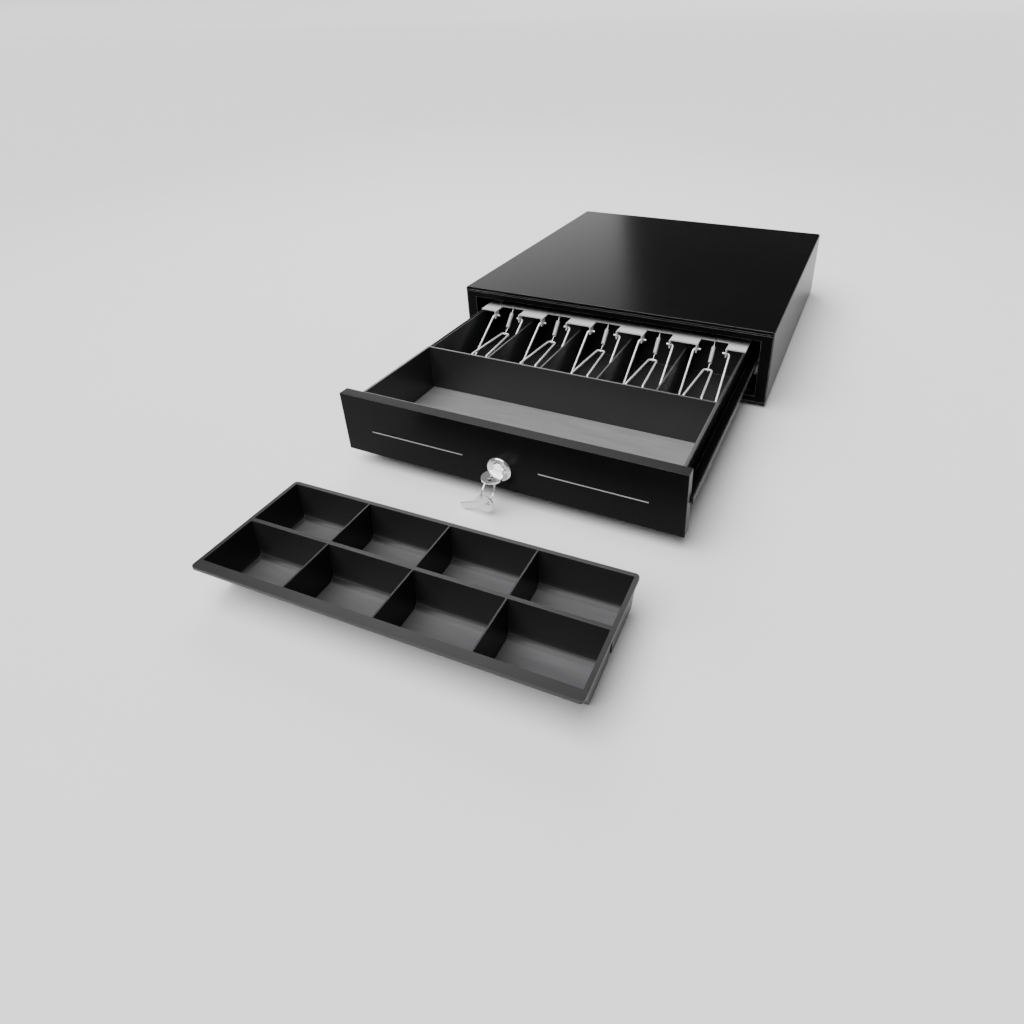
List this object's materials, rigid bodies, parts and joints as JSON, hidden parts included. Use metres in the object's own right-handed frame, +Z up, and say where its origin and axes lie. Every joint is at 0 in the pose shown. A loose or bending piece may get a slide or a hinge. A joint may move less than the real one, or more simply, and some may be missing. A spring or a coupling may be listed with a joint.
{
  "type": "cash register drawer",
  "caption": "Steel point-of-sale cash drawer, pulled open: till insert with spring bill clips, keyed lock with keys, roller slides, and a lift-out coin tray.",
  "frame": {"origin": "middle of the case's footprint on the bench, at the underside of its feet", "axes": "+Z up, +Y to the back of the case, -Y the way the drawer opens, +X to the right seen from the front"},
  "size_m": [0.41, 0.91, 0.1],
  "materials": {
    "top_cover": "black satin powder coat",
    "base_pan": "black satin powder coat",
    "rear_panel": "black satin powder coat",
    "front_frame": "black satin powder coat",
    "case_rails": "zinc-plated steel",
    "rubber_feet": "matt black rubber",
    "foot_screws": "zinc-plated steel",
    "rear_screws": "zinc-plated steel",
    "latch_bracket": "zinc-plated steel",
    "solenoid_frame": "zinc-plated steel",
    "solenoid_coil": "taped copper winding",
    "lever_pin": "polished steel",
    "return_spring": "bright spring wire",
    "cable_socket": "black moulded plastic",
    "front_roller_studs": "zinc-plated steel",
    "drawer_tray": "black satin powder coat",
    "front_panel": "black satin powder coat",
    "till_insert": "dark grey moulded plastic, fine grain",
    "bill_dividers": "dark grey moulded plastic, fine grain",
    "clip_bar": "bright zinc plate",
    "clip_bar_screws": "polished steel",
    "catch_plate": "zinc-plated steel",
    "rear_roller_studs": "zinc-plated steel",
    "lock_body": "polished nickel plate",
    "lock_nut": "zinc-plated steel",
    "panel_screws": "zinc-plated steel",
    "drawer_runners": "black satin powder coat",
    "front_roller_left": "natural nylon",
    "front_roller_right": "natural nylon",
    "rear_roller_left": "natural nylon",
    "rear_roller_right": "natural nylon",
    "bill_clip_1": "bright nickel-plated wire",
    "bill_clip_2": "bright nickel-plated wire",
    "bill_clip_3": "bright nickel-plated wire",
    "bill_clip_4": "bright nickel-plated wire",
    "bill_clip_5": "bright nickel-plated wire",
    "clip_spring_1": "bright spring wire",
    "clip_spring_2": "bright spring wire",
    "clip_spring_3": "bright spring wire",
    "clip_spring_4": "bright spring wire",
    "clip_spring_5": "bright spring wire",
    "lock_plug": "polished nickel plate",
    "lock_cam": "zinc-plated steel",
    "key": "polished nickel plate",
    "key_ring": "polished nickel plate",
    "spare_key": "nickel-plated, light wear",
    "latch_lever": "zinc-plated steel",
    "solenoid_plunger": "polished steel",
    "coin_tray": "dark grey moulded plastic, satin rim"
  },
  "bodies": {
    "case": {"top_cover": "top_cover", "base_pan": "base_pan", "rear_panel": "rear_panel", "front_frame": "front_frame", "case_rails": "case_rails", "rubber_feet": "rubber_feet", "foot_screws": "foot_screws", "rear_screws": "rear_screws", "latch_bracket": "latch_bracket", "solenoid_frame": "solenoid_frame", "solenoid_coil": "solenoid_coil", "lever_pin": "lever_pin", "return_spring": "return_spring", "cable_socket": "cable_socket", "front_roller_studs": "front_roller_studs"},
    "drawer": {"drawer_tray": "drawer_tray", "front_panel": "front_panel", "till_insert": "till_insert", "bill_dividers": "bill_dividers", "clip_bar": "clip_bar", "clip_bar_screws": "clip_bar_screws", "catch_plate": "catch_plate", "rear_roller_studs": "rear_roller_studs", "lock_body": "lock_body", "lock_nut": "lock_nut", "panel_screws": "panel_screws", "drawer_runners": "drawer_runners", "clip_spring_1": "clip_spring_1", "clip_spring_2": "clip_spring_2", "clip_spring_3": "clip_spring_3", "clip_spring_4": "clip_spring_4", "clip_spring_5": "clip_spring_5"},
    "front_roller_left": {"front_roller_left": "front_roller_left"},
    "front_roller_right": {"front_roller_right": "front_roller_right"},
    "rear_roller_left": {"rear_roller_left": "rear_roller_left"},
    "rear_roller_right": {"rear_roller_right": "rear_roller_right"},
    "clip_1": {"bill_clip_1": "bill_clip_1"},
    "clip_2": {"bill_clip_2": "bill_clip_2"},
    "clip_3": {"bill_clip_3": "bill_clip_3"},
    "clip_4": {"bill_clip_4": "bill_clip_4"},
    "clip_5": {"bill_clip_5": "bill_clip_5"},
    "plug": {"lock_plug": "lock_plug", "lock_cam": "lock_cam"},
    "inserted_key": {"key": "key"},
    "ring": {"key_ring": "key_ring"},
    "hanging_key": {"spare_key": "spare_key"},
    "lever": {"latch_lever": "latch_lever"},
    "plunger": {"solenoid_plunger": "solenoid_plunger"},
    "coin_tray": {"coin_tray": "coin_tray"}
  },
  "joints": [
    {"name": "drawer_slide", "type": "slide", "parent": "case", "child": "drawer", "axis": [0, -1, 0], "range_m": [-0.281, 0]},
    {"name": "front_left_roll", "type": "hinge", "parent": "case", "child": "front_roller_left", "pos_m": [-0.18575, -0.1837, 0.0392], "axis": [1, 0, 0], "range_deg": [-2400, 0]},
    {"name": "rear_left_roll", "type": "hinge", "parent": "drawer", "child": "rear_roller_left", "pos_m": [-0.19775, -0.1558, 0.0392], "axis": [1, 0, 0], "range_deg": [-2400, 0]},
    {"name": "front_right_roll", "type": "hinge", "parent": "case", "child": "front_roller_right", "pos_m": [0.18575, -0.1837, 0.0392], "axis": [1, 0, 0], "range_deg": [-2400, 0]},
    {"name": "rear_right_roll", "type": "hinge", "parent": "drawer", "child": "rear_roller_right", "pos_m": [0.19775, -0.1558, 0.0392], "axis": [1, 0, 0], "range_deg": [-2400, 0]},
    {"name": "clip_1_lift", "type": "hinge", "parent": "drawer", "child": "clip_1", "pos_m": [-0.1366, -0.2173, 0.069], "axis": [-1, 0, 0], "range_deg": [0, 70], "deforming": ["clip_spring_1"]},
    {"name": "clip_2_lift", "type": "hinge", "parent": "drawer", "child": "clip_2", "pos_m": [-0.0683, -0.2173, 0.069], "axis": [-1, 0, 0], "range_deg": [0, 70], "deforming": ["clip_spring_2"]},
    {"name": "clip_3_lift", "type": "hinge", "parent": "drawer", "child": "clip_3", "pos_m": [0, -0.2173, 0.069], "axis": [-1, 0, 0], "range_deg": [0, 70], "deforming": ["clip_spring_3"]},
    {"name": "clip_4_lift", "type": "hinge", "parent": "drawer", "child": "clip_4", "pos_m": [0.0683, -0.2173, 0.069], "axis": [-1, 0, 0], "range_deg": [0, 70], "deforming": ["clip_spring_4"]},
    {"name": "clip_5_lift", "type": "hinge", "parent": "drawer", "child": "clip_5", "pos_m": [0.1366, -0.2173, 0.069], "axis": [-1, 0, 0], "range_deg": [0, 70], "deforming": ["clip_spring_5"]},
    {"name": "lock_turn", "type": "hinge", "parent": "drawer", "child": "plug", "pos_m": [0, -0.4915, 0.04], "axis": [0, -1, 0], "range_deg": [-90, 90]},
    {"name": "key_pull", "type": "slide", "parent": "plug", "child": "inserted_key", "axis": [0, -1, 0], "range_m": [0, 0.024]},
    {"name": "ring_swing", "type": "hinge", "parent": "inserted_key", "child": "ring", "pos_m": [0, -0.512, 0.041], "axis": [1, 0, 0], "range_deg": [-6, 6]},
    {"name": "spare_key_swing", "type": "hinge", "parent": "ring", "child": "hanging_key", "pos_m": [0, -0.512, 0.0174], "axis": [0, 1, 0], "range_deg": [-20, 50]},
    {"name": "latch_release", "type": "hinge", "parent": "case", "child": "lever", "pos_m": [0, 0.1645, 0.03], "axis": [1, 0, 0], "range_deg": [0, 10]},
    {"name": "plunger_pull", "type": "slide", "parent": "case", "child": "plunger", "axis": [0, 0, 1], "range_m": [0, 0.004], "stiffness_N_per_m": 40, "springref_m": -0.002, "deforming": ["return_spring"]},
    {"name": "coin_tray_lift", "type": "slide", "parent": "case", "child": "coin_tray", "axis": [0, 0, 1], "range_m": [0, 0.15]}
  ],
  "couplings": [
    {"joint": "front_left_roll", "follows": "drawer_slide", "rad_per_m": 147.06},
    {"joint": "front_right_roll", "follows": "drawer_slide", "rad_per_m": 147.06},
    {"joint": "rear_left_roll", "follows": "drawer_slide", "rad_per_m": 147.06},
    {"joint": "rear_right_roll", "follows": "drawer_slide", "rad_per_m": 147.06},
    {"joint": "latch_release", "follows": "plunger_pull", "rad_per_m": 43.478}
  ]
}
